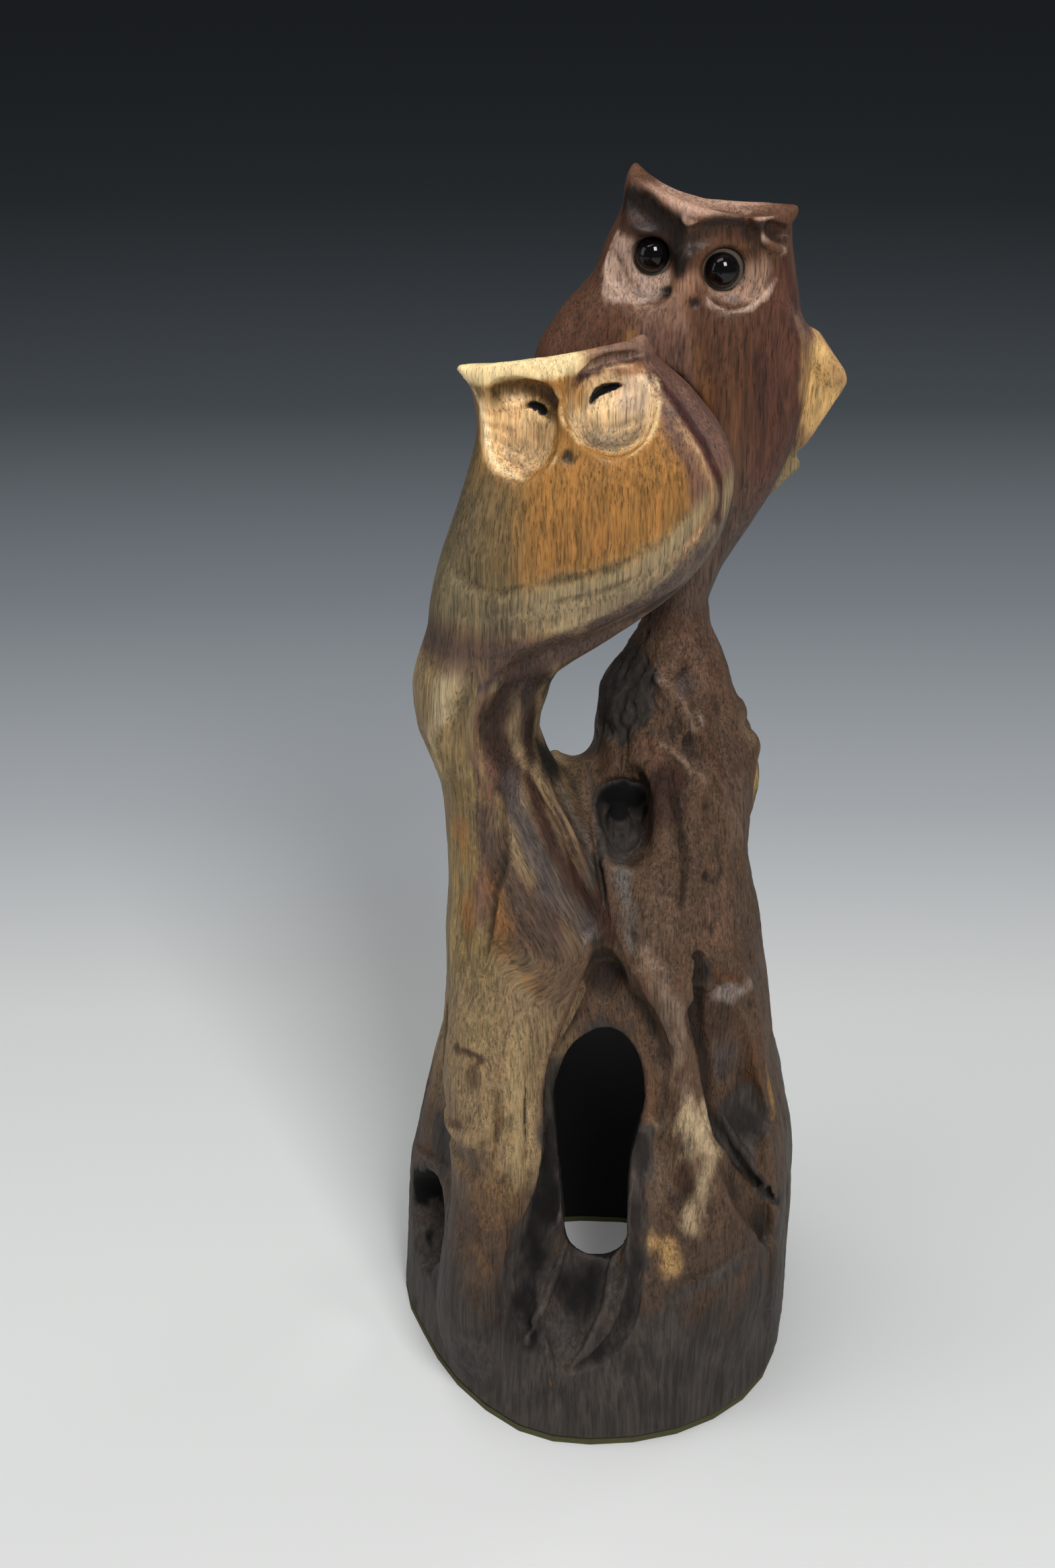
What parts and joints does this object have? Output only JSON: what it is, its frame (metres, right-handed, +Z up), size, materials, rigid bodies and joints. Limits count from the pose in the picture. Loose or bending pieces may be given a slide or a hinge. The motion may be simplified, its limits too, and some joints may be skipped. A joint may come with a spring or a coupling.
{
  "type": "carved wooden figurine",
  "caption": "Free-standing wood carving of a sleeping owl and a waking owl that grow from the limbs of a hollow scorched root, with glass bead eyes and a felt foot pad.",
  "frame": {"origin": "on the table under the middle of the foot", "axes": "+Z up, the owls look towards -Y, +X is to the right seen from the front"},
  "size_m": [0.1045, 0.0962, 0.2967],
  "materials": {
    "carved_wood": "hand-carved walnut with pale sapwood and a scorched foot, satin oil finish",
    "olive_felt": "thin olive felt, glued",
    "black_glass": "polished opaque black glass",
    "steel_wire": "drawn steel wire",
    "putty": "dried pale wood putty"
  },
  "bodies": {
    "root": {"stump": "carved_wood", "left_limb": "carved_wood", "right_limb": "carved_wood", "sleeping_owl": "carved_wood", "waking_owl": "carved_wood", "foot_pad": "olive_felt", "left_eye_bead": "black_glass", "right_eye_bead": "black_glass", "left_eye_wire": "steel_wire", "right_eye_wire": "steel_wire", "left_eye_bedding": "putty", "right_eye_bedding": "putty"}
  },
  "joints": []
}
